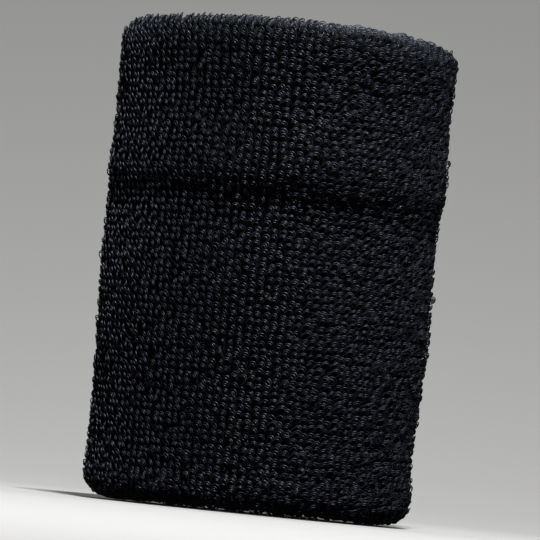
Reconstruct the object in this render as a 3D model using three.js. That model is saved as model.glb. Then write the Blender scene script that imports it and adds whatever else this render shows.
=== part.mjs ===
// A sweat wristband: a knitted terry tube whose two ends are turned in, so that it makes an outer wall,
// two rolled edges and an inner wall. The raw ends meet in an overlocked seam on the skin side, and two
// covered elastic yarns spiral through the pocket between the walls. Millimetres, +Z up. The origin is
// on the surface that the band stands on, at the middle of its oval.
import * as THREE from "three";

// The band as a whole.
const bandHeight = 80;
const ovalLong = 54; // across X, outside, at mid height
const ovalShort = 47; // across Y, outside, at mid height
const flare = 1.1; // how much wider each side stands at the top than at the bottom
const rimDroop = 1; // how far the upper rim sinks at its two sides, below its height at the front and back

// The fabric.
const outerLayer = 3.6; // terry thickness, ground and loops, of the outer wall
const innerLayer = 3.2; // of the inner wall
const pocket = 2.1; // between the two walls
const edgeRollHeight = 4; // how much of the height each rolled edge takes
const lowerEdgeRadius = 2.8; // the rolled edge is pressed flat between two corners of this radius
const gap = 0.3; // between pieces that meet

// The closing seam.
const seamHeight = 59.4; // where the two inner walls meet
const allowanceLength = 5; // from the seam down to the raw edge
const allowanceThickness = 1.1; // terry pressed flat by the overlock
const threadThickness = 0.4;
const threadWidth = 0.8;

// The soft ring that the seam's bulk raises in both walls, and the hollow under it.
const ringRiseFront = 1.2; // at the front and back
const ringRiseSide = 0.3;
const ringAboveRawEdge = 0.2; // its crest
const ringSpreadUp = 6.5;
const ringSpreadDown = 2.6;
const hollowDepthFront = 0.8;
const hollowDepthSide = 0.3;
const hollowBelowRawEdge = 4.6; // its bottom
const hollowSpreadUp = 2.8;
const hollowSpreadDown = 8;

// The elastic.
const elasticYarns = 2;
const elasticDiameter = 0.5;
const elasticPitch = 18; // along the fabric, for one turn of one yarn
const elasticEndClearance = 1.5; // from the seam to where the elastic starts and ends

// How finely curves are cut into facets.
const segmentsRound = 36;
const elasticStepsPerTurn = 28;
const elasticSides = 4;
const cornerSteps = 5; // on each quarter turn of a rolled edge
const slotSteps = 4;

// ---------------------------------------------------------------- the band's form

// A value that changes smoothly round the band, from the front and back to the two sides.
function round(phi, front, side) {
  return front * Math.sin(phi) ** 2 + side * Math.cos(phi) ** 2;
}

// A bell that falls from 1 to nothing, with its own spread above its middle and below it.
function bell(above, spreadUp, spreadDown) {
  const spread = above > 0 ? spreadUp : spreadDown;
  return Math.exp(-((above / spread) ** 2));
}

// How far the seam's ring and the hollow move the fabric out at angle phi and height z, with the flare.
function swell(phi, z) {
  const rawEdge = seamHeight - allowanceLength;
  const ringFall = bell(z - rawEdge - ringAboveRawEdge, ringSpreadUp, ringSpreadDown);
  const hollowFall = bell(z - rawEdge + hollowBelowRawEdge, hollowSpreadUp, hollowSpreadDown);
  const ring = round(phi, ringRiseFront, ringRiseSide) * ringFall;
  const hollow = round(phi, hollowDepthFront, hollowDepthSide) * hollowFall;
  return flare * (z / bandHeight - 0.5) + ring - hollow;
}

// How far the fabric sinks at angle phi and height z. It fades to nothing at the base.
function droop(phi, z) {
  return round(phi, 0, rimDroop) * (z / bandHeight) ** 2;
}

// The point at angle phi and height z that lies depth inside the outer surface.
function onBand(phi, depth, z) {
  const outward = swell(phi, z) - depth;
  return new THREE.Vector3(
    (ovalLong / 2 + outward) * Math.cos(phi),
    (ovalShort / 2 + outward) * Math.sin(phi),
    z - droop(phi, z),
  );
}

// A closed ring round the band. Its section is a closed list of [depth, z] points.
function ringGeometry(section) {
  const latheRadius = ovalLong / 2;
  const outline = section.map(([depth, z]) => new THREE.Vector2(latheRadius - depth, z));
  outline.push(outline[0].clone());
  const geometry = new THREE.LatheGeometry(outline, segmentsRound);
  const position = geometry.attributes.position;
  for (let i = 0; i < position.count; i += 1) {
    const across = position.getX(i);
    const along = position.getZ(i);
    const depth = latheRadius - Math.hypot(across, along);
    const point = onBand(Math.atan2(-along, across), depth, position.getY(i));
    position.setXYZ(i, point.x, point.y, point.z);
  }
  geometry.computeVertexNormals();
  return geometry;
}

// Heights from low to high, close together where the seam's ring and hollow bend the wall.
function wallHeights(low, high) {
  const steps = [-26, -20, -16, -13, -11, -10, -8, -7, -6, -5, -3, -1, 1, 4, 7, 11];
  const bends = steps.map((step) => seamHeight + step);
  const margin = 1.2;
  const between = bends.filter((z) => z > low + margin && z < high - margin);
  return [low, ...between, high];
}

// The section of a wall between two depths. It runs up its outer face and down its inner face.
function wallSection(outerDepth, innerDepth, low, high) {
  const heights = wallHeights(low, high);
  const up = heights.map((z) => [outerDepth, z]);
  const down = heights.map((z) => [innerDepth, z]).reverse();
  return [...up, ...down];
}

// Points on a quarter or half turn, from one angle to another, in a [depth, z] section.
function arc(centreDepth, centreZ, radiusDepth, radiusZ, from, to, steps) {
  const points = [];
  for (let i = 0; i <= steps; i += 1) {
    const turn = from + ((to - from) * i) / steps;
    points.push([centreDepth + radiusDepth * Math.cos(turn), centreZ + radiusZ * Math.sin(turn)]);
  }
  return points;
}

// ---------------------------------------------------------------- where each layer lies

const pocketOuterDepth = outerLayer;
const pocketInnerDepth = outerLayer + pocket;
const skinDepth = pocketInnerDepth + innerLayer;
const pocketMiddle = (pocketOuterDepth + pocketInnerDepth) / 2;
const wallLow = edgeRollHeight + gap;
const wallHigh = bandHeight - edgeRollHeight - gap;

// The lower wall's raw end lies against the skin side, and the upper wall's raw end lies over it.
const lowerAllowanceDepth = skinDepth + gap;
const upperAllowanceDepth = lowerAllowanceDepth + allowanceThickness + gap;
const allowanceTop = seamHeight - gap;
const allowanceLow = allowanceTop - allowanceLength;

// ---------------------------------------------------------------- the terry tube

// A fold over the top: an arch of fabric with the pocket's slot under it.
function upperRollSection() {
  const base = bandHeight - edgeRollHeight;
  const crown = arc(skinDepth / 2, base, skinDepth / 2, edgeRollHeight, Math.PI, 0, 2 * cornerSteps);
  const slot = arc(pocketMiddle, base, pocket / 2, pocket / 2, 0, Math.PI, slotSteps);
  return [...crown, ...slot];
}

// A fold at the base, flat where it stands.
function lowerRollSection() {
  const r = lowerEdgeRadius;
  const outerCorner = arc(r, r, r, r, Math.PI, 1.5 * Math.PI, cornerSteps);
  const innerCorner = arc(skinDepth - r, r, r, r, 1.5 * Math.PI, 2 * Math.PI, cornerSteps);
  const slot = arc(pocketMiddle, edgeRollHeight, pocket / 2, pocket / 2, 0, -Math.PI, slotSteps);
  const outline = [[0, edgeRollHeight], ...outerCorner, ...innerCorner, [skinDepth, edgeRollHeight], ...slot];
  return outline.reverse();
}

// A raw end, turned in at the seam and pressed down.
function allowanceSection(outerDepth) {
  const innerDepth = outerDepth + allowanceThickness;
  const middle = (allowanceLow + allowanceTop) / 2;
  return [
    [outerDepth, allowanceLow],
    [outerDepth, middle],
    [outerDepth, allowanceTop],
    [innerDepth, allowanceTop],
    [innerDepth, middle],
    [innerDepth, allowanceLow],
  ];
}

// ---------------------------------------------------------------- elastic and threads

// Where the fabric's pocket face lies after a distance along the fabric, from the seam up over the top
// fold, down the outer wall, round the lower fold and up to the seam again.
function elasticStation(distance) {
  const clear = elasticDiameter / 2 + gap;
  const outerRun = pocketOuterDepth + clear;
  const innerRun = pocketInnerDepth - clear;
  const foldRadius = (innerRun - outerRun) / 2;
  const foldHigh = bandHeight - edgeRollHeight;
  const foldLow = edgeRollHeight;
  const upRun = foldHigh - (seamHeight + elasticEndClearance);
  const fold = Math.PI * foldRadius;
  const downRun = foldHigh - foldLow;
  let rest = distance;
  if (rest < upRun) return [innerRun, seamHeight + elasticEndClearance + rest];
  rest -= upRun;
  if (rest < fold) {
    const turn = rest / foldRadius;
    return [pocketMiddle + foldRadius * Math.cos(turn), foldHigh + foldRadius * Math.sin(turn)];
  }
  rest -= fold;
  if (rest < downRun) return [outerRun, foldHigh - rest];
  rest -= downRun;
  if (rest < fold) {
    const turn = rest / foldRadius;
    return [pocketMiddle - foldRadius * Math.cos(turn), foldLow - foldRadius * Math.sin(turn)];
  }
  rest -= fold;
  return [innerRun, foldLow + rest];
}

// The length of fabric that a yarn runs along, from one raw end to the other.
function elasticLength() {
  const clear = elasticDiameter / 2 + gap;
  const fold = Math.PI * (pocket / 2 - clear);
  const foldHigh = bandHeight - edgeRollHeight;
  const upRun = foldHigh - (seamHeight + elasticEndClearance);
  const lastRun = seamHeight - elasticEndClearance - edgeRollHeight;
  return upRun + fold + (foldHigh - edgeRollHeight) + fold + lastRun;
}

// The spiral of one elastic yarn.
class ElasticPath extends THREE.Curve {
  constructor(startAngle) {
    super();
    this.startAngle = startAngle;
    this.length = elasticLength();
  }

  getPoint(t, target = new THREE.Vector3()) {
    const distance = t * this.length;
    const [depth, z] = elasticStation(distance);
    return target.copy(onBand(this.startAngle + (2 * Math.PI * distance) / elasticPitch, depth, z));
  }

  // Equal steps of the parameter are already equal steps round the band.
  getPointAt(t, target) {
    return this.getPoint(t, target);
  }
}

function elasticGeometry(index) {
  const path = new ElasticPath((2 * Math.PI * index) / elasticYarns);
  const turns = path.length / elasticPitch;
  const section = new THREE.Shape();
  for (let side = 0; side < elasticSides; side += 1) {
    const turn = (2 * Math.PI * side) / elasticSides;
    const x = (elasticDiameter / 2) * Math.cos(turn);
    const y = (elasticDiameter / 2) * Math.sin(turn);
    if (side === 0) section.moveTo(x, y);
    else section.lineTo(x, y);
  }
  section.closePath();
  return new THREE.ExtrudeGeometry(section, {
    steps: Math.round(turns * elasticStepsPerTurn),
    extrudePath: path,
    curveSegments: 1,
  });
}

// A run of thread laid round the seam, at a depth and height.
function threadSection(outerDepth, low, thickness, width) {
  return [
    [outerDepth, low],
    [outerDepth, low + width],
    [outerDepth + thickness, low + width],
    [outerDepth + thickness, low],
  ];
}

// ---------------------------------------------------------------- materials

function material(hex, roughness) {
  return new THREE.MeshStandardMaterial({ color: new THREE.Color(hex), roughness, metalness: 0 });
}

const terryBlack = 0x17181c;
const terrySkinBlack = 0x141519;
const elasticGrey = 0x2b2c30;
const threadBlack = 0x1d1e22;

// ---------------------------------------------------------------- the assembly

const band = new THREE.Group();

function add(name, geometry, hex, roughness) {
  const mesh = new THREE.Mesh(geometry, material(hex, roughness));
  mesh.name = name;
  band.add(mesh);
}

add("outer_terry_wall", ringGeometry(wallSection(0, outerLayer, wallLow, wallHigh)), terryBlack, 0.95);
add("upper_edge_roll", ringGeometry(upperRollSection()), terryBlack, 0.95);
add("lower_edge_roll", ringGeometry(lowerRollSection()), terryBlack, 0.95);
add(
  "inner_terry_wall_upper",
  ringGeometry(wallSection(pocketInnerDepth, skinDepth, seamHeight, wallHigh)),
  terrySkinBlack,
  0.95,
);
add(
  "inner_terry_wall_lower",
  ringGeometry(wallSection(pocketInnerDepth, skinDepth, wallLow, seamHeight - gap)),
  terrySkinBlack,
  0.95,
);
add("seam_allowance_lower", ringGeometry(allowanceSection(lowerAllowanceDepth)), terrySkinBlack, 0.95);
add("seam_allowance_upper", ringGeometry(allowanceSection(upperAllowanceDepth)), terrySkinBlack, 0.95);

// The needle thread lies on the face of the upper allowance, just under the seam's fold. The lower looper
// thread runs along that face's raw edge, and the upper looper thread wraps under the raw edges.
const threadDepth = upperAllowanceDepth + allowanceThickness + gap;
add(
  "overlock_needle_thread",
  ringGeometry(threadSection(threadDepth, allowanceTop - 2 * threadWidth, threadThickness, threadWidth)),
  threadBlack,
  0.7,
);
add(
  "overlock_lower_looper_thread",
  ringGeometry(threadSection(threadDepth, allowanceLow, threadThickness, threadWidth)),
  threadBlack,
  0.7,
);
add(
  "overlock_upper_looper_thread",
  ringGeometry(
    threadSection(
      lowerAllowanceDepth + gap,
      allowanceLow - gap - threadThickness,
      2 * allowanceThickness,
      threadThickness,
    ),
  ),
  threadBlack,
  0.7,
);

for (let index = 0; index < elasticYarns; index += 1) {
  add(`elastic_yarn_feed_${index + 1}`, elasticGeometry(index), elasticGrey, 0.6);
}

export default band;
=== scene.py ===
"""A black terry sweat wristband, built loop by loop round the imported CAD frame.

The band is one knitted tube, folded in on itself and closed by an overlocked seam on the skin side. Its
ground knit is one closed sheet. Its towelling is real geometry: every loop is two or three ends of yarn
rooted in the ground knit. Shapes are worked out in millimetres and written in metres.
"""

import math

import bpy
import numpy as np
from mathutils import Matrix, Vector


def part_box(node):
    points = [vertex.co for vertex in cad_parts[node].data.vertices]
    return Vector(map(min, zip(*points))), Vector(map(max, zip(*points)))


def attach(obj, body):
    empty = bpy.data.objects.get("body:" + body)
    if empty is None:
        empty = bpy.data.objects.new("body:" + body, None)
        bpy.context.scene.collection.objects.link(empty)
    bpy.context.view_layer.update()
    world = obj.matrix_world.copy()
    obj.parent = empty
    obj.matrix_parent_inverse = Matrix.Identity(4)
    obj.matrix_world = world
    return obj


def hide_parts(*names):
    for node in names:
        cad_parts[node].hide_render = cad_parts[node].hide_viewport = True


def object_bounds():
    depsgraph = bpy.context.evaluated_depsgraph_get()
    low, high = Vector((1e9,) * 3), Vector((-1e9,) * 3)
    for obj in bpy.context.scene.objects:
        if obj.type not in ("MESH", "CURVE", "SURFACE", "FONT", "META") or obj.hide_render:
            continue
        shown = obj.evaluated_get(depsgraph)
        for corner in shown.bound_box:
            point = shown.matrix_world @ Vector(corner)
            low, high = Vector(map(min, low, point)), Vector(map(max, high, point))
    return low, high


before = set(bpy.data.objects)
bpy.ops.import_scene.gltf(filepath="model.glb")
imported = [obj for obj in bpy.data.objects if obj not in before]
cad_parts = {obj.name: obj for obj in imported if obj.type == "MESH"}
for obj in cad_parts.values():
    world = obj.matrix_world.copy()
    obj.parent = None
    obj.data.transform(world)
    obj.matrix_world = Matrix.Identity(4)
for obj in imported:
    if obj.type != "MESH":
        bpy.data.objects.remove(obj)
cad_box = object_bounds()

MM = 0.001
BODY = "root"
FULL_TURN = 2 * math.pi
COOL_WHITE = (0.72, 0.80, 1.0, 1.0)
BAKE_MAP = "OFBake"
CELLS = 44  # cells along each side of a yarn piece's bake map, one cell for each end of yarn
CELL_MARGIN = 0.06
CELL_USED = 1 - 2 * CELL_MARGIN
WALES = 124  # columns of loops round the band
GROUND_COURSES = 150  # rows of ground stitches along the tube


# ------------------------------------------------------------------ the camera, the light and the floor


def aimed(place, back, up):
    """The matrix of a camera or light at place whose local Z is back and whose local Y is up."""
    matrix = np.eye(4)
    matrix[:3, 0], matrix[:3, 1], matrix[:3, 2] = np.cross(up, back), up, back
    matrix[:3, 3] = place
    return Matrix(matrix.tolist())


def place_camera():
    """The picture's view: level with the band's foot, tipped up a little, and rolled so the band leans."""
    distance, elevation, roll = 1.0, math.radians(-1.7), math.radians(5.75)
    seen_width, sensor_width = 0.088, 36.0
    nearest_seen, farthest_seen = 0.05, 20.0
    target = np.array([0.0004, 0.0, 0.0398])
    back = np.array([0.0, -math.cos(elevation), math.sin(elevation)])
    right = np.array([1.0, 0.0, 0.0])
    up = np.cross(back, right) * math.cos(roll) - right * math.sin(roll)
    data = bpy.data.cameras.new("camera")
    data.sensor_width = sensor_width
    data.lens = sensor_width * distance / seen_width
    data.clip_start, data.clip_end = nearest_seen, farthest_seen
    camera = bpy.data.objects.new("camera", data)
    bpy.context.scene.collection.objects.link(camera)
    camera.matrix_world = aimed(target + back * distance, back, up)
    bpy.context.scene.camera = camera


def softbox(name, place, size, power):
    """A rectangular light that faces the band's middle. size is its width and height in metres."""
    aim = np.array([0.0, 0.0, 0.045])
    data = bpy.data.lights.new(name, "AREA")
    data.shape = "RECTANGLE"
    data.size, data.size_y = size
    data.energy = power
    light = bpy.data.objects.new(name, data)
    bpy.context.scene.collection.objects.link(light)
    back = np.array(place) - aim
    back /= np.linalg.norm(back)
    side = np.cross([0.0, 0.0, 1.0], back)
    side /= np.linalg.norm(side)
    light.matrix_world = aimed(place, back, np.cross(back, side))


def place_lights():
    """A softbox above and in front, one over the back for the top edge, and a strip for each side."""
    softbox("key", (0.04, -0.36, 0.64), (0.08, 0.08), 12.8)
    softbox("top_rim", (0.0, 0.16, 0.55), (0.30, 0.10), 1.0)
    softbox("right_strip", (0.50, 0.12, 0.16), (0.10, 0.30), 0.15)
    softbox("left_strip", (-0.50, 0.12, 0.16), (0.10, 0.30), 0.3)
    world = bpy.data.worlds.new("studio")
    world.use_nodes = True
    background = world.node_tree.nodes["Background"]
    background.inputs["Color"].default_value = (0.90, 0.94, 1.0, 1.0)
    background.inputs["Strength"].default_value = 0.03
    bpy.context.scene.world = world


def make_stage():
    """A pale floor that curves up behind into a plain backdrop."""
    near, far, half_width, radius, top = -3.0, 1.0, 4.0, 0.85, 3.0
    arc_steps = 24
    profile = [(near, 0.0), (far - radius, 0.0)]
    for i in range(1, arc_steps + 1):
        turn = 0.5 * math.pi * i / arc_steps
        profile.append((far - radius + radius * math.sin(turn), radius - radius * math.cos(turn)))
    profile.append((far, top))
    verts = [(x, y, z) for y, z in profile for x in (-half_width, half_width)]
    faces = [(2 * i, 2 * i + 1, 2 * i + 3, 2 * i + 2) for i in range(len(profile) - 1)]
    mesh = bpy.data.meshes.new("floor")
    mesh.from_pydata(verts, [], faces)
    mesh.shade_smooth()
    floor = bpy.data.objects.new("floor", mesh)
    bpy.context.scene.collection.objects.link(floor)
    material, tree, shader = new_material("pale_floor")
    mottle = add_node(tree, "TexNoise", {"Scale": 6.0, "Detail": 2.0})
    paper = mix_colours(tree, mottle.outputs["Fac"], (0.29, 0.29, 0.285), (0.31, 0.31, 0.305))
    tree.links.new(paper, shader.inputs["Base Color"])
    shader.inputs["Roughness"].default_value = 0.85
    mesh.materials.append(material)
    # The floor doesn't fill the black pile's shadows, as if dark flags stood beside the set.
    floor.visible_diffuse = False
    floor.visible_glossy = False


# ------------------------------------------------------------------ materials


def new_material(name):
    material = bpy.data.materials.new(name)
    material.use_nodes = True
    return material, material.node_tree, material.node_tree.nodes["Principled BSDF"]


def add_node(tree, kind, inputs=None, **settings):
    """A shader node. Each input is given as a value, or as the output that feeds it."""
    made = tree.nodes.new("ShaderNode" + kind)
    for name, value in settings.items():
        setattr(made, name, value)
    for name, value in (inputs or {}).items():
        if isinstance(value, bpy.types.NodeSocket):
            tree.links.new(value, made.inputs[name])
        else:
            made.inputs[name].default_value = value
    return made


def math_node(tree, operation, *values):
    return add_node(tree, "Math", dict(enumerate(values)), operation=operation).outputs[0]


def mix_colours(tree, share, low, high):
    factor, first, second, result = 0, 6, 7, 2
    inputs = {factor: share, first: (*low, 1.0), second: (*high, 1.0)}
    return add_node(tree, "Mix", inputs, data_type="RGBA").outputs[result]


def yarn_material(name, dark, light, roughness, turns, specular, sheen):
    """Spun yarn: uneven dye, fine fibre grain, and plies that wind turns times along each end.

    Each end of yarn has a square cell of its own in the bake map, with u along it and v round it. The
    yarn's colour is painted lighter halfway along, at a loop's head, and darker towards its roots, as
    painted shade where the legs sink into the pile; it is also smoother at the head and rougher at the
    roots. The plies' crests are painted lighter and the grooves between them darker, as painted shade.
    """
    middle, lightest, root_roughness = 0.5, 0.85, 0.35
    ply_relief, ply_painted_shade, tone_share = 0.35, 0.12, 0.6
    smoother, rougher = roughness - 0.1, roughness + 0.12
    material, tree, shader = new_material(name)
    place = add_node(tree, "TexCoord").outputs["Object"]
    mottle = add_node(tree, "TexNoise", {"Vector": place, "Scale": 700.0, "Detail": 3.0}).outputs["Fac"]
    fibre = add_node(tree, "TexNoise", {"Vector": place, "Scale": 11000.0, "Detail": 4.0}).outputs["Fac"]
    cells = add_node(tree, "UVMap", uv_map=BAKE_MAP).outputs["UV"]
    scaled = add_node(tree, "VectorMath", {0: cells, 1: (CELLS, CELLS, 0.0)}, operation="MULTIPLY")
    own = add_node(tree, "VectorMath", {0: scaled.outputs["Vector"]}, operation="FRACTION")
    split = add_node(tree, "SeparateXYZ", {0: own.outputs["Vector"]})
    round_it = math_node(tree, "MULTIPLY", split.outputs["Y"], FULL_TURN / CELL_USED)
    along = math_node(tree, "MULTIPLY", split.outputs["X"], FULL_TURN * turns)
    ply = math_node(tree, "SINE", math_node(tree, "ADD", round_it, along))
    relief = math_node(tree, "MULTIPLY_ADD", ply, ply_relief, fibre)
    tone = add_node(tree, "Attribute", attribute_name="tone").outputs["Fac"]
    dyed = math_node(tree, "MULTIPLY_ADD", tone, tone_share, mottle)
    # Painted shade: the plies' crests are made lighter and the grooves between them darker.
    dye_and_painted_shade = math_node(tree, "MULTIPLY_ADD", ply, ply_painted_shade, dyed)
    # Painted shade: the colour darkens from a loop's head down its legs to the roots, where the pile
    # shades them. The same share makes the roots rougher.
    from_head = math_node(tree, "ABSOLUTE", math_node(tree, "SUBTRACT", split.outputs["X"], middle))
    head_range = {"Value": from_head, "From Min": 0.08, "From Max": 0.34, "To Min": 1.0, "To Max": 0.0}
    head = add_node(tree, "MapRange", head_range).outputs[0]
    dye_and_painted_shade = math_node(tree, "MULTIPLY", math_node(tree, "MULTIPLY", dye_and_painted_shade, head), lightest)
    tree.links.new(mix_colours(tree, dye_and_painted_shade, dark, light), shader.inputs["Base Color"])
    fibre_range = {"Value": fibre, "To Min": smoother, "To Max": rougher}
    grain = add_node(tree, "MapRange", fibre_range).outputs[0]
    off_head = math_node(tree, "SUBTRACT", 1.0, head)
    rough = math_node(tree, "MULTIPLY_ADD", off_head, root_roughness, grain)
    tree.links.new(rough, shader.inputs["Roughness"])
    bump = add_node(tree, "Bump", {"Strength": 0.55, "Distance": 0.00004, "Height": relief})
    tree.links.new(bump.outputs["Normal"], shader.inputs["Normal"])
    shader.inputs["Specular IOR Level"].default_value = specular
    shader.inputs["Specular Tint"].default_value = COOL_WHITE
    shader.inputs["Sheen Weight"].default_value = sheen
    shader.inputs["Sheen Roughness"].default_value = 0.4
    shader.inputs["Sheen Tint"].default_value = COOL_WHITE
    return material


def ground_material():
    """The ground knit: thinner, duller yarn in rows of small purl stitches."""
    purl_relief = 0.5
    material, tree, shader = new_material("black_ground_knit")
    cells = add_node(tree, "UVMap", uv_map=BAKE_MAP).outputs["UV"]
    split = add_node(tree, "SeparateXYZ", {0: cells})
    round_it = math_node(tree, "MULTIPLY", split.outputs["X"], FULL_TURN * WALES)
    along = math_node(tree, "MULTIPLY", split.outputs["Y"], FULL_TURN * GROUND_COURSES)
    wale, course = math_node(tree, "SINE", round_it), math_node(tree, "SINE", along)
    purl = math_node(tree, "MULTIPLY", wale, course)
    place = add_node(tree, "TexCoord").outputs["Object"]
    fibre = add_node(tree, "TexNoise", {"Vector": place, "Scale": 5000.0, "Detail": 4.0}).outputs["Fac"]
    relief = math_node(tree, "MULTIPLY_ADD", purl, purl_relief, fibre)
    # The colour follows the relief: the fibre noise is the yarn's own uneven tone, and the purl stitches'
    # hollows are painted darker, as painted shade.
    colour = mix_colours(tree, relief, (0.0008, 0.0009, 0.0014), (0.0022, 0.0024, 0.0034))
    tree.links.new(colour, shader.inputs["Base Color"])
    rough = {"Value": fibre, "To Min": 0.75, "To Max": 0.95}
    tree.links.new(add_node(tree, "MapRange", rough).outputs[0], shader.inputs["Roughness"])
    bump = add_node(tree, "Bump", {"Strength": 0.8, "Distance": 0.0002, "Height": relief})
    tree.links.new(bump.outputs["Normal"], shader.inputs["Normal"])
    shader.inputs["Specular IOR Level"].default_value = 0.08
    return material


# ------------------------------------------------------------------ the band's form, from the frame


def half_size(node):
    """Half the node's size along X and along Y, in millimetres."""
    lo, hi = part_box(node)
    return (hi[0] - lo[0]) / 2 / MM, (hi[1] - lo[1]) / 2 / MM


def top_of(node):
    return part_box(node)[1][2] / MM


def depth_of(node):
    """How far the node's outer face lies inside the outer wall's, in millimetres."""
    return half_size("outer_terry_wall")[0] - half_size(node)[0]


# Sizes in millimetres. Depths are counted inwards from the band's outer surface.
TOUCH_GAP = 0.3  # what the CAD leaves between pieces that meet
BAND_HEIGHT = cad_box[1][2] / MM
ROLL_HEIGHT = top_of("lower_edge_roll")
LOW_HALF = half_size("lower_edge_roll")
HIGH_HALF = half_size("upper_edge_roll")
POCKET_OUTER = 3.6  # the depth of the outer wall's back
POCKET_INNER = depth_of("inner_terry_wall_lower")
SKIN_DEPTH = depth_of("seam_allowance_lower") - TOUCH_GAP
SEAM_HEIGHT = top_of("seam_allowance_upper") + TOUCH_GAP
RAW_EDGE_HEIGHT = top_of("overlock_upper_looper_thread") + TOUCH_GAP
ALLOWANCE_DEPTH = depth_of("seam_allowance_upper")  # where the two allowances' plain faces meet
ALLOWANCE_THICKNESS = ALLOWANCE_DEPTH - depth_of("seam_allowance_lower") - TOUCH_GAP
RIM_DROOP = 1.0  # how far the upper rim sinks at its two sides

# The ring that the seam's bulk raises and the hollow under it. Pairs are for the front and for the side.
RING_RISE = (1.2, 0.3)
RING_ABOVE_RAW_EDGE = 0.2
RING_SPREAD = (6.5, 3.0)  # above its crest and below it
HOLLOW_DEPTH = (0.8, 0.3)
HOLLOW_BELOW_RAW_EDGE = 4.6
HOLLOW_SPREAD = (3.2, 8.0)  # above its bottom and below it

# The slow waves down the two sides, each as its rise, middle height and length.
LEFT_WAVE, RIGHT_WAVE, RIGHT_RISE = (0.42, 40, 50), (0.15, 57, 28), 0.25
# Those round the band, each as its rise, its count, its turn for each millimetre of height, and its turn.
ROUND_WAVES = ((0.12, 3, -0.13, 0.0), (0.09, 5, 0.21, 1.9))
# The neck is a shallow hollow above the ring, deeper at the right than at the left.
NECK_DEPTH, NECK_DEEPER_AT_RIGHT, NECK_HEIGHT, NECK_SPREAD = 0.48, 0.32, 67, 4.8
NECK_SHARE = (1.0, 0.25)  # at the front and at the side


def round_value(phi, front, side):
    return front * np.sin(phi) ** 2 + side * np.cos(phi) ** 2


def swell(phi, z):
    """How far the seam's ring and the hollow under it move the fabric outwards."""
    above_crest = z - RAW_EDGE_HEIGHT - RING_ABOVE_RAW_EDGE
    above_bottom = z - RAW_EDGE_HEIGHT + HOLLOW_BELOW_RAW_EDGE
    from_ring = above_crest / np.where(above_crest > 0, *RING_SPREAD)
    from_hollow = above_bottom / np.where(above_bottom > 0, *HOLLOW_SPREAD)
    ring = round_value(phi, *RING_RISE) * np.exp(-(from_ring**2))
    return ring - round_value(phi, *HOLLOW_DEPTH) * np.exp(-(from_hollow**2))


def waves(phi, z, depth):
    """The slow unevenness of a soft tube. It dies out towards the skin side."""

    def side_wave(rise, middle, length):
        return rise * np.cos(FULL_TURN * (z - middle) / length)

    left, right = np.clip(-np.cos(phi), 0, 1) ** 2, np.clip(np.cos(phi), 0, 1) ** 2
    sides = left * side_wave(*LEFT_WAVE) + right * (RIGHT_RISE + side_wave(*RIGHT_WAVE))
    slow = sum(rise * np.sin(count * phi + by_z * z + turn) for rise, count, by_z, turn in ROUND_WAVES)
    neck = (NECK_DEPTH + NECK_DEEPER_AT_RIGHT * np.cos(phi)) * round_value(phi, *NECK_SHARE)
    neck = neck * np.exp(-(((z - NECK_HEIGHT) / NECK_SPREAD) ** 2))
    return (sides + slow - neck) * np.clip(1 - depth / SKIN_DEPTH, 0, 1)


def on_band(phi, depth, z):
    """The point at angle phi and height z that lies depth inside the outer surface."""
    share = (z - ROLL_HEIGHT) / (BAND_HEIGHT - 2 * ROLL_HEIGHT)
    outward = swell(phi, z) + waves(phi, z, depth) - depth
    across = LOW_HALF[0] + (HIGH_HALF[0] - LOW_HALF[0]) * share + outward
    along = LOW_HALF[1] + (HIGH_HALF[1] - LOW_HALF[1]) * share + outward
    sunk = round_value(phi, 0.0, RIM_DROOP) * (z / BAND_HEIGHT) ** 2
    return np.stack([across * np.cos(phi), along * np.sin(phi), z - sunk], -1)


# ------------------------------------------------------------------ the fabric's cross-section


class FabricLine:
    """One face of the fabric, cut through: a line of (depth, z) that is read by the length along it."""

    def __init__(self, corners):
        self.corners = np.array(corners)
        steps = np.linalg.norm(np.diff(self.corners, axis=0), axis=1)
        self.along = np.concatenate([[0], np.cumsum(steps)])
        self.length = self.along[-1]

    def at(self, s):
        return np.stack([np.interp(s, self.along, self.corners[:, i]) for i in (0, 1)], -1)

    def forward(self, s):
        """The unit direction along the line, as (outward, up)."""
        reach = 0.2
        step = self.at(np.minimum(s + reach, self.length)) - self.at(np.maximum(s - reach, 0))
        step[..., 0] *= -1
        return step / np.linalg.norm(step, axis=-1, keepdims=True)

    def evenly(self, step):
        return self.at(np.linspace(0, self.length, int(self.length / step) + 2))


FOLD_STEPS, U_TURN_STEPS = 120, 16


def folded_line(outer_depth, inner_depth, fold_reach):
    """From the seam up the inner wall, over the top, down the outer wall, and under and up to the seam.

    Returns the line, and the lengths along it where its five zones meet.
    """
    middle, half = (outer_depth + inner_depth) / 2, (inner_depth - outer_depth) / 2
    turn = np.linspace(0, math.pi, FOLD_STEPS)
    high, low = BAND_HEIGHT - ROLL_HEIGHT, ROLL_HEIGHT
    top = np.stack([middle + half * np.cos(turn), high + fold_reach * np.sin(turn)], -1)
    bottom = np.stack([middle - half * np.cos(turn), low - fold_reach * np.sin(turn)], -1)
    seam = [[inner_depth, SEAM_HEIGHT]]
    line = FabricLine(np.concatenate([seam, top, bottom, seam]))
    marks = line.along[[0, 1, FOLD_STEPS, FOLD_STEPS + 1, 2 * FOLD_STEPS, 2 * FOLD_STEPS + 1]]
    return line, marks


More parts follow.
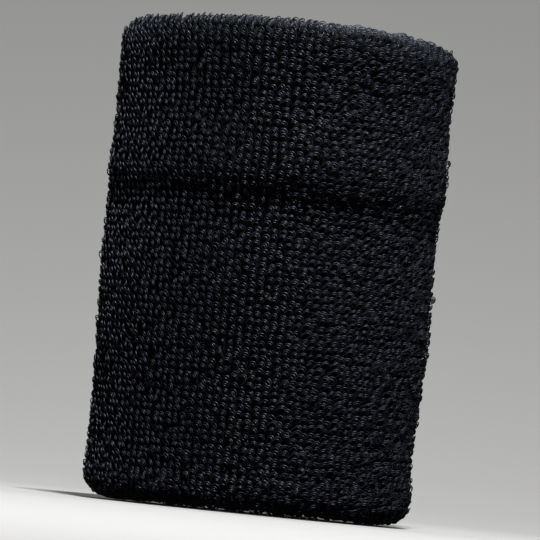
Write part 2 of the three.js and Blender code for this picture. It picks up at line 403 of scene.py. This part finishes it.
OUTER_PILE, SKIN_PILE, FOLD_PILE = 2.15, 1.8, 2.2  # how deep the ground knit lies under the pile
PLAIN_FOLD_REACH = 1.0  # how far the back of the ground knit bulges into each fold
PILE_LINE, ZONE_MARKS = folded_line(OUTER_PILE, SKIN_DEPTH - SKIN_PILE, ROLL_HEIGHT - FOLD_PILE)
PLAIN_LINE, _ = folded_line(POCKET_OUTER, POCKET_INNER, PLAIN_FOLD_REACH)
ALLOWANCE_GROUND = 0.7  # the ground knit's thickness where the overlock presses it
LEDGE = [  # the pile face from the upper allowance's top out to the inner wall
    (ALLOWANCE_DEPTH + ALLOWANCE_GROUND, SEAM_HEIGHT - 0.9),
    (ALLOWANCE_DEPTH + ALLOWANCE_GROUND - 0.6, SEAM_HEIGHT),
    (SKIN_DEPTH - SKIN_PILE + 0.6, SEAM_HEIGHT + 1.0),
    (SKIN_DEPTH - SKIN_PILE, SEAM_HEIGHT + 1.9),
]
# Each zone's CAD node, its material slot, and the number of sectors that its loops are made in.
ZONES = {
    "inner_upper": ("inner_terry_wall_upper", "terry_skin", 2),
    "upper_fold": ("upper_edge_roll", "terry_outer", 3),
    "outer_wall": ("outer_terry_wall", "terry_outer", 14),
    "lower_fold": ("lower_edge_roll", "terry_outer", 3),
    "inner_lower": ("inner_terry_wall_lower", "terry_skin", 6),
}


def zone_of(s):
    """Where s lies on the pile line, as a number from 0 to 5, one unit for each zone."""
    return np.interp(s, ZONE_MARKS, np.arange(len(ZONE_MARKS)))


def u_turn(first, last, height, reach):
    """Half an ellipse from depth first to depth last that rises by reach above height."""
    turn = np.linspace(0, math.pi, U_TURN_STEPS)
    middle, half = (first + last) / 2, (last - first) / 2
    return np.stack([middle - half * np.cos(turn), height + reach * np.sin(turn)], -1)


PILE_FACE_STEP, PLAIN_FACE_STEP = 0.62, 2.4  # between the ground knit's rows of points
U_TURN_BELOW_SEAM, PILE_U_TURN_REACH, PLAIN_U_TURN_REACH = 2.8, 1.3, 2.1
PLAIN_LEDGE_SLANT = 0.5
# The heights above the seam of the four corners on the plain face of the ledge.
PLAIN_LEDGE_RISE = (-1.3, -0.4, 1.0, 2.0)


def ground_section():
    """The ground knit's cross-section, closed: its pile face from end to end, then its plain face back.

    Each end is a raw edge. The upper end steps in and hangs down, and the lower end folds over to meet it.
    """
    skin, end = PILE_LINE.corners[0][0], RAW_EDGE_HEIGHT
    over_pile, over_plain = LEDGE[0][0], ALLOWANCE_DEPTH
    under_plain = ALLOWANCE_DEPTH - TOUCH_GAP
    under_pile = under_plain - ALLOWANCE_GROUND
    bend = SEAM_HEIGHT - U_TURN_BELOW_SEAM
    depths = (over_plain, over_plain - PLAIN_LEDGE_SLANT, POCKET_INNER + PLAIN_LEDGE_SLANT, POCKET_INNER)
    plain_ledge = [(depth, SEAM_HEIGHT + rise) for depth, rise in zip(depths, PLAIN_LEDGE_RISE)]
    pile = FabricLine(
        [(over_pile, end)]
        + LEDGE
        + list(PILE_LINE.corners[1:-1])
        + list(u_turn(skin, under_pile, bend, PILE_U_TURN_REACH))
        + [(under_pile, end)]
    )
    plain = FabricLine(
        [(over_plain, end)]
        + plain_ledge
        + list(PLAIN_LINE.corners[1:-1])
        + list(u_turn(POCKET_INNER, under_plain, bend, PLAIN_U_TURN_REACH))
        + [(under_plain, end)]
    )
    return pile.evenly(PILE_FACE_STEP), plain.evenly(PLAIN_FACE_STEP)[::-1]


# ------------------------------------------------------------------ meshes


def new_piece(name, points_mm, faces, uv, material, nodes, tone=None):
    """A smooth mesh from points in millimetres, face arrays of 4 or more corners, and a map by corner."""
    mesh = bpy.data.meshes.new(name)
    mesh.vertices.add(len(points_mm))
    mesh.vertices.foreach_set("co", (points_mm * MM).astype(np.float32).ravel())
    corners = np.concatenate([part.ravel() for part in faces]).astype(np.int32)
    counts = np.concatenate([np.full(len(part), part.shape[1]) for part in faces])
    mesh.loops.add(len(corners))
    mesh.loops.foreach_set("vertex_index", corners)
    mesh.polygons.add(len(counts))
    starts = np.concatenate([[0], np.cumsum(counts)[:-1]])
    mesh.polygons.foreach_set("loop_start", starts.astype(np.int32))
    mesh.update(calc_edges=True)
    mesh.shade_smooth()
    mesh.uv_layers.new(name=BAKE_MAP).uv.foreach_set("vector", uv.astype(np.float32).ravel())
    if tone is not None:
        values = mesh.attributes.new("tone", "FLOAT", "POINT").data
        values.foreach_set("value", tone.astype(np.float32))
    mesh.validate()
    piece = bpy.data.objects.new(name, mesh)
    bpy.context.scene.collection.objects.link(piece)
    mesh.materials.append(material)
    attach(piece, BODY)
    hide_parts(*nodes)
    return piece


def grid_uv(u, v):
    """The corner map of a grid of quads, from the values at its (rows + 1) and (columns + 1) lines."""
    corners = [(0, 0), (1, 0), (1, 1), (0, 1)]
    rows, columns = len(u) - 1, len(v) - 1
    maps = [np.broadcast_arrays(u[i : rows + i, None], v[None, j : columns + j]) for i, j in corners]
    return np.stack([np.stack(pair, -1) for pair in maps], 2)


def make_ground_knit():
    """The whole ground knit as one closed sheet, ribbed on its pile face."""
    rib_height, columns = 0.12, 2 * WALES
    pile, plain = ground_section()
    phi = np.arange(columns) * FULL_TURN / columns
    rib = rib_height * (-1.0) ** np.arange(columns)
    section = np.concatenate([pile, plain])
    on_pile = np.concatenate([np.ones(len(pile)), np.zeros(len(plain))])
    points = on_band(phi, section[:, :1] + on_pile[:, None] * rib, section[:, 1:])
    rows = len(section)
    index = np.arange(rows * columns).reshape(rows, columns)
    next_row, next_column = np.roll(index, -1, axis=0), np.roll(index, -1, axis=1)
    across = np.roll(next_row, -1, axis=1)
    quads = np.stack([index, next_row, across, next_column], -1).reshape(-1, 4)
    uv = grid_uv(np.arange(rows + 1) / rows, np.arange(columns + 1) / columns)[..., ::-1].reshape(-1, 2)
    nodes = [node for node, _, _ in ZONES.values()] + ["seam_allowance_upper", "seam_allowance_lower"]
    return new_piece(
        "ground_knit", points.reshape(-1, 3), [quads], uv, ground_material(), nodes
    )


def normalised(v):
    tiny = 1e-9
    return v / np.maximum(np.linalg.norm(v, axis=-1, keepdims=True), tiny)


def swept_yarn(lines, planes, radius, sides):
    """Closed tubes round centre lines (ends, samples, 3): their points and faces, and a map by corner."""
    ends, samples, _ = lines.shape
    ahead = np.gradient(lines, axis=1)
    first = normalised(np.cross(ahead, planes))
    second = normalised(np.cross(first, ahead))
    turn = FULL_TURN * np.arange(sides) / sides
    ring = np.cos(turn)[:, None] * first[:, :, None] + np.sin(turn)[:, None] * second[:, :, None]
    points = lines[:, :, None] + radius * ring
    index = np.arange(ends * samples * sides).reshape(ends, samples, sides)
    near, far = index[:, :-1], index[:, 1:]
    quads = np.stack([near, far, np.roll(far, -1, axis=2), np.roll(near, -1, axis=2)], -1)
    caps = np.concatenate([index[:, 0], index[:, -1, ::-1]])
    u = CELL_MARGIN + CELL_USED * np.linspace(0, 1, samples)
    v = CELL_MARGIN + CELL_USED * np.linspace(0, 1, sides + 1)
    cell = np.stack([np.arange(ends) % CELLS, np.arange(ends) // CELLS], -1)
    quad_uv = cell[:, None, None, None] + grid_uv(u, v)
    first_cap = np.stack(np.broadcast_arrays(u[0], v[:sides]), -1)
    last_cap = np.stack(np.broadcast_arrays(u[-1], v[:sides][::-1]), -1)
    cap_uv = np.concatenate([cell[:, None] + first_cap, cell[:, None] + last_cap])
    uv = np.concatenate([quad_uv.reshape(-1, 2), cap_uv.reshape(-1, 2)]) / CELLS
    return points.reshape(-1, 3), [quads.reshape(-1, 4), caps], uv


# ------------------------------------------------------------------ terry loops

# Lengths are in millimetres. LEAN, TURN, TWIST and their spreads are in degrees.
COURSE_PITCH = 1.14
# How far apart the rows of loops are rooted, by the place along the five zones.
ROW_PITCH = (
    (0.99, 1.0, 2.0, 2.01, 2.98, 2.985, 3.35, 3.45, 3.98, 4.0),
    (1.14, 0.8, 0.8, 1.14, 1.14, 0.52, 0.52, 0.8, 0.8, 1.14),
)
YARN_RADIUS = 0.088
LEG_STEPS, HEAD_STEPS = 2, 7
NEST_STEP = (0.33, 0.15, 0.12)  # each further end of a loop is this much shorter, narrower and prouder
NEST_SPREAD, PROUD_SPREAD = 0.2, 0.25
NARROWEST = 0.24
NECK_WIDTH_SHARE = 0.5
LENGTH_SPREAD, LENGTH_RANGE = 0.07, (0.75, 1.25)
WIDTH_SPREAD, WIDTH_RANGE = 0.10, (0.7, 1.35)
LOOSER_BY, LOOSEST_AT = 0.5, -0.6  # the loops are untidiest at this angle, the right of the front
SPINE_STEPS = 20
ROOT_LEAN = math.radians(8)
BENDS_BETWEEN = (0.15, 0.95)  # the shares of its length between which a loop bends over
TURN, TURN_SPREAD = 34, 6  # how far loops lean round the band
LEAN_SPREAD = 5
TWIST, TWIST_SPREAD = 8, 7
STRAY_SHARE, STRAY_LONGER, STRAY_WIDER = 0.012, 0.12, 0.3
ROOT_JITTER = 0.055  # as a share of the pitch
# The most ends of yarn in a loop, the share of loops that have the last one, and the yarn's sides.
OUTER_YARN, SKIN_YARN, SEAM_YARN = (3, 0.3, 5), (2, 0.8, 4), (2, 0.7, 4)
SEEDS_APART = 100
# The loops' lean from the fabric, and their length and half width, along the five zones.
PILE_ZONE = (0.0, 0.9, 1.1, 1.3, 1.75, 2.05, 2.98, 3.05, 3.14, 3.24, 3.36, 3.5, 3.75, 4.1)
PILE_LEAN = (64, 64, 50, 40, 40, 64, 64, 76, 90, 103, 110, 108, 64, 64)
PILE_LENGTH = (2.2, 2.2, 2.1, 2.1, 2.1, 2.7, 2.7, 2.8, 2.9, 2.9, 2.9, 2.8, 2.4, 2.2)
PILE_WIDTH = (0.45, 0.45, 0.5, 0.56, 0.6, 0.6, 0.6, 0.62, 0.64, 0.66, 0.66, 0.66, 0.55, 0.45)


def loop_outline(length, radius):
    """Each loop's line in its own plane, as (across, along): two legs that widen, and a head."""
    leg = np.linspace(0, 1, LEG_STEPS, endpoint=False)
    straight = (length - radius)[:, None]
    width = radius[:, None] * (NECK_WIDTH_SHARE + (1 - NECK_WIDTH_SHARE) * leg**2 * (3 - 2 * leg))
    turn = np.linspace(0, math.pi, HEAD_STEPS + 1)
    across = np.concatenate([-width, -radius[:, None] * np.cos(turn), width[:, ::-1]], 1)
    head = straight + radius[:, None] * np.sin(turn)
    along = np.concatenate([straight * leg, head, (straight * leg)[:, ::-1]], 1)
    return across, along


def spine(lean):
    """How a loop of unit length leans, rises and slides, at even steps from its root to its tip."""
    bend_from, bend_to = BENDS_BETWEEN
    u = np.linspace(0, 1, SPINE_STEPS + 1)
    bend = np.clip((u - bend_from) / (bend_to - bend_from), 0, 1)
    angle = ROOT_LEAN + (lean[:, None] - ROOT_LEAN) * bend * bend * (3 - 2 * bend)
    middle = (angle[:, 1:] + angle[:, :-1]) / 2
    start = np.zeros((len(lean), 1))
    rise = np.concatenate([start, np.cumsum(np.cos(middle), 1)], 1) / SPINE_STEPS
    slide = np.concatenate([start, np.cumsum(np.sin(middle), 1)], 1) / SPINE_STEPS
    return angle, rise, slide


def read_spine(tables, u):
    """The spine's lean, rise and slide at the shares u of its length."""
    just_short_of_tip = 0.9999
    place = np.clip(u, 0, just_short_of_tip) * SPINE_STEPS
    low = place.astype(int)
    part = place - low
    read = np.take_along_axis
    return [read(t, low, 1) * (1 - part) + read(t, low + 1, 1) * part for t in tables]


def local_frame(line, phi, s):
    """Points on the fabric, and the directions round the band, out of the fabric and along the line."""
    small, small_turn = 0.02, 0.001
    depth, z = np.moveaxis(line.at(s), -1, 0)
    root = on_band(phi, depth, z)
    round_dir = normalised(on_band(phi + small_turn, depth, z) - root)
    out_dir = normalised(root - on_band(phi, depth + small, z))
    up_dir = normalised(on_band(phi, depth, z + small) - root)
    outward, up = (part[..., None] for part in np.moveaxis(line.forward(s), -1, 0))
    return root, round_dir, outward * up_dir - up * out_dir, outward * out_dir + up * up_dir


def loop_lines(line, phi, s, shape, ends, last_end, rng):
    """The centre lines of every end of yarn, as (ends, samples, 3), their planes' directions, and tones.

    shape gives each loop's lean in degrees, length and half width.
    """
    count = len(phi)
    root, round_dir, pile_dir, forward = local_frame(line, phi, s)
    loose = 1 + LOOSER_BY * np.clip(np.cos(phi - LOOSEST_AT), 0, 1) ** 2
    lean, length, radius = shape
    length = length * (1 + LENGTH_SPREAD * loose * rng.normal(0, 1, count)).clip(*LENGTH_RANGE)
    radius = radius * (1 + WIDTH_SPREAD * loose * rng.normal(0, 1, count)).clip(*WIDTH_RANGE)
    stray = rng.random(count) < STRAY_SHARE
    length, radius = length * (1 + STRAY_LONGER * stray), radius * (1 + STRAY_WIDER * stray)
    turn = np.radians(TURN + TURN_SPREAD * loose * rng.normal(0, 1, count))[:, None]
    lean_dir = round_dir * np.sin(turn) - forward * np.cos(turn)
    across_dir = (round_dir * np.cos(turn) + forward * np.sin(turn))[:, None]
    twist = np.radians(TWIST + TWIST_SPREAD * loose * rng.normal(0, 1, count))[:, None, None]
    tables = spine(np.radians(lean + LEAN_SPREAD * rng.normal(0, 1, count)))
    shorter, narrower, prouder = NEST_STEP
    lines, planes, tones = [], [], []
    for k in range(ends):
        keep = rng.random(count) < (last_end if k == ends - 1 else 1)
        end_length = length - shorter * k * rng.normal(1, NEST_SPREAD, count)
        end_radius = radius - narrower * k * rng.normal(1, NEST_SPREAD, count)
        end_radius = np.maximum(end_radius, NARROWEST)
        across, along = loop_outline(end_length, end_radius)
        angle, rise, slide = (part[..., None] for part in read_spine(tables, along / length[:, None]))
        ahead = pile_dir[:, None] * np.cos(angle) + lean_dir[:, None] * np.sin(angle)
        plane = np.cross(across_dir, ahead)
        side = across_dir * np.cos(twist) + plane * np.sin(twist)
        proud = prouder * (k - 1 + rng.normal(0, PROUD_SPREAD, (count, 1, 1)))
        reach = length[:, None, None]
        spine_line = pile_dir[:, None] * rise * reach + lean_dir[:, None] * slide * reach
        end_line = root[:, None] + spine_line + side * across[..., None] + plane * proud
        lines.append(end_line[keep])
        planes.append(plane[keep])
        tones.append(rng.random(int(keep.sum())))
    return np.concatenate(lines), np.concatenate(planes), np.concatenate(tones)


def on_floor(points):
    """Loops that would reach under the floor are pressed against it."""
    soft = 0.35
    z = points[:, 2]
    points[:, 2] = np.where(z > soft, z, soft * np.exp((np.minimum(z, soft) - soft) / soft))
    return points


def pile_shape(s):
    """The lean, length and half width of the loops rooted at s on the pile line."""
    return [np.interp(zone_of(s), PILE_ZONE, values) for values in (PILE_LEAN, PILE_LENGTH, PILE_WIDTH)]


def make_loops(name, line, rows, wales, shape_of, yarn, material, slot, node, seed):
    """One piece of towelling: a loop at each wale of each row.

    yarn is the most ends in a loop, the share of loops that have the last one, and the yarn's sides.
    """
    rng = np.random.default_rng(seed)
    phi, s = np.meshgrid(wales * FULL_TURN / WALES, rows, indexing="ij")
    phi = (phi + FULL_TURN / WALES * rng.normal(0, ROOT_JITTER, phi.shape)).ravel()
    s = (s + COURSE_PITCH * rng.normal(0, ROOT_JITTER, s.shape)).ravel()
    ends, last_end, sides = yarn
    lines, planes, tones = loop_lines(line, phi, s, shape_of(s), ends, last_end, rng)
    points, faces, uv = swept_yarn(lines, planes, YARN_RADIUS, sides)
    tone = np.repeat(tones, lines.shape[1] * sides)
    return new_piece(name, on_floor(points), faces, uv, material, [node], tone)


def course_rows():
    """Where every row of loops is rooted on the pile line, closer together where the fabric folds.

    The rows stop short of the seam, where the fabric turns in to make the allowances.
    """
    first_above_seam, last_below_seam = 2.0, 2.6
    rows, s = [], first_above_seam
    while s < PILE_LINE.length - last_below_seam:
        rows.append(s)
        s += np.interp(zone_of(s), *ROW_PITCH)
    return np.array(rows)


def make_pile(materials):
    """The towelling of all five zones, each in sectors round the band."""
    yarns = {"terry_outer": OUTER_YARN, "terry_skin": SKIN_YARN}
    rows = course_rows()
    zone_of_row = zone_of(rows).astype(int)
    made = []
    for index, (zone, (node, slot, sectors)) in enumerate(ZONES.items()):
        own_rows, looks = rows[zone_of_row == index], (yarns[slot], materials[slot], slot, node)
        for k, wales in enumerate(np.array_split(np.arange(WALES), sectors)):
            name, seed = f"{zone}_loops_{k + 1:02d}", SEEDS_APART * index + k
            made.append(make_loops(name, PILE_LINE, own_rows, wales, pile_shape, *looks, seed))
    return made


# ------------------------------------------------------------------ the seam and the elastic

STITCHES = 38
STITCH_STEPS = 14
THREAD_RADIUS, THREAD_SIDES = 0.13, 6
MIDDLE_TONE = 0.5
SEAM_ROW_PITCH, FIRST_SEAM_ROW, LAST_SEAM_ROW = 0.95, 0.5, 0.3
# Lean, length and half width: short loops that the overlock has pressed flat, and free ones that droop.
PRESSED_LOOP, LEDGE_LOOP = (76.0, 1.0, 0.34), (56.0, 1.9, 0.42)
THREAD_LIFT = 0.45  # of the stitches from the allowance's face
NEEDLE_BELOW_SEAM, NEEDLE_LIFT, NEEDLE_DIP, NEEDLE_DIP_SPREAD = 1.4, 0.1, 0.8, 0.1
LOWER_LOOPER_LIFT, LOWER_LOOPER_SLANT = 0.16, 0.16
UPPER_LOOPER_BELOW_EDGE, UPPER_LOOPER_RISE, UPPER_LOOPER_SLANT = 0.5, 1.0, 0.1


def same_shape(values):
    """The shape of loops that are alike all over."""
    return lambda s: [np.full(s.shape, value) for value in values]


def make_seam_pile(material):
    """The pressed loops on the seam allowance that shows, and the free ones on the ledge above it."""
    depth, wales = LEDGE[0][0], np.arange(WALES)
    pressed = FabricLine([(depth, RAW_EDGE_HEIGHT), (depth, SEAM_HEIGHT)])
    ledge = FabricLine(LEDGE)
    made = []
    for name, line, shape, node, seed in (
        ("seam_allowance_loops", pressed, PRESSED_LOOP, "seam_allowance_upper", 900),
        ("seam_ledge_loops", ledge, LEDGE_LOOP, "inner_terry_wall_upper", 901),
    ):
        rows = np.arange(FIRST_SEAM_ROW, line.length - LAST_SEAM_ROW, SEAM_ROW_PITCH)
        looks = (SEAM_YARN, material, "terry_skin", node)
        made.append(make_loops(name, line, rows, wales, same_shape(shape), *looks, seed))
    return made


def towards_axis(phi):
    """A direction for each angle, inwards and a little up, that a thread's flat side is set by."""
    upward = 0.2
    return np.stack([-np.cos(phi), -np.sin(phi), np.full(phi.shape, upward)], -1)


def thread_ring(name, path, material, node):
    """A thread that goes once round the band.

    path turns the share of a stitch into its depth, its height, and its advance in stitches.
    """
    share = np.arange(STITCHES * STITCH_STEPS + 1) / STITCH_STEPS
    depth, z, advance = path(share % 1)
    phi = (share + advance) * FULL_TURN / STITCHES
    line = on_band(phi, depth, z)[None]
    points, faces, uv = swept_yarn(line, towards_axis(phi)[None], THREAD_RADIUS, THREAD_SIDES)
    tone = np.full(len(points), MIDDLE_TONE)
    return new_piece(name, points, faces, uv, material, [node], tone)


def make_seam_threads():
    """The overlock's threads: a row of stitches, a zigzag over the face, and loops over the raw edge."""
    dark, light = (0.004, 0.0045, 0.006), (0.012, 0.013, 0.017)
    # The yarn material's painted shade for loop roots also darkens and roughens each thread away from the
    # middle of its length, since each thread is a single end of yarn.
    material = yarn_material(
        "black_overlock_thread", dark, light, roughness=0.42, turns=900, specular=0.5, sheen=0.0
    )
    face = ALLOWANCE_DEPTH + ALLOWANCE_THICKNESS + THREAD_LIFT
    needle_line = SEAM_HEIGHT - NEEDLE_BELOW_SEAM

    def needle(share):
        dip = np.exp(-((np.minimum(share, 1 - share) / NEEDLE_DIP_SPREAD) ** 2))
        return face + NEEDLE_LIFT - NEEDLE_DIP * dip, np.full(share.shape, needle_line), 0

    def lower_looper(share):
        swing = np.cos(FULL_TURN * share)
        middle, reach = (needle_line + RAW_EDGE_HEIGHT) / 2, (needle_line - RAW_EDGE_HEIGHT) / 2
        slant = LOWER_LOOPER_SLANT * np.sin(2 * FULL_TURN * share)
        return np.full(share.shape, face + LOWER_LOOPER_LIFT), middle + reach * swing, slant

    def upper_looper(share):
        swing = np.cos(FULL_TURN * share)
        middle, reach = (face + SKIN_DEPTH) / 2, (face - SKIN_DEPTH) / 2
        low = RAW_EDGE_HEIGHT - UPPER_LOOPER_BELOW_EDGE
        slant = UPPER_LOOPER_SLANT * np.sin(2 * FULL_TURN * share)
        return middle + reach * swing, low + UPPER_LOOPER_RISE * swing**4, slant

    thread_ring("overlock_needle_stitches", needle, material, "overlock_needle_thread")
    thread_ring("overlock_lower_loops", lower_looper, material, "overlock_lower_looper_thread")
    thread_ring("overlock_upper_loops", upper_looper, material, "overlock_upper_looper_thread")


def make_elastic():
    """Two covered elastic yarns that spiral through the pocket, half a turn apart."""
    radius, pitch, clear, end = 0.25, 18.0, 0.55, 1.5
    samples, wrap_rise, samples_per_wrap = 1100, 0.03, 4
    dark, light = (0.006, 0.0063, 0.008), (0.016, 0.017, 0.021)
    # The yarn material's painted shade for loop roots also darkens and roughens each elastic away from the
    # middle of its length, since each is a single end of yarn.
    material = yarn_material(
        "covered_elastic", dark, light, roughness=0.4, turns=1400, specular=0.5, sheen=0.0
    )
    fold_reach = (POCKET_INNER - POCKET_OUTER) / 2 - clear
    line, _ = folded_line(POCKET_OUTER + clear, POCKET_INNER - clear, fold_reach)
    s = np.linspace(end, line.length - end, samples)
    depth, z = line.at(s).T
    wrap_swell = wrap_rise * np.cos(FULL_TURN * np.arange(len(s)) / samples_per_wrap)
    thickness = (radius + wrap_swell)[None, :, None, None]
    for index in range(2):
        phi = math.pi * index + FULL_TURN * (s - end) / pitch
        centre = on_band(phi, depth, z)[None]
        points, faces, uv = swept_yarn(centre, towards_axis(phi)[None], thickness, THREAD_SIDES)
        name, node = f"covered_elastic_{index + 1}", f"elastic_yarn_feed_{index + 1}"
        tone = np.full(len(points), MIDDLE_TONE)
        new_piece(name, points, faces, uv, material, [node], tone)


# ------------------------------------------------------------------ the band


def make_band():
    dark, light = (0.0010, 0.0012, 0.0020), (0.0028, 0.0032, 0.0049)
    materials = {
        "terry_outer": yarn_material(
            "black_cotton_pile", dark, light, roughness=0.42, turns=7, specular=0.5, sheen=0.02
        ),
        "terry_skin": yarn_material(
            "black_cotton_skin_pile", dark, light, roughness=0.54, turns=6, specular=0.4, sheen=0.03
        ),
    }
    ground = make_ground_knit()
    pile = make_pile(materials)
    pile += make_seam_pile(materials["terry_skin"])
    make_seam_threads()
    make_elastic()


place_camera()
place_lights()
make_stage()
make_band()
bpy.context.scene.view_settings.view_transform = "Standard"
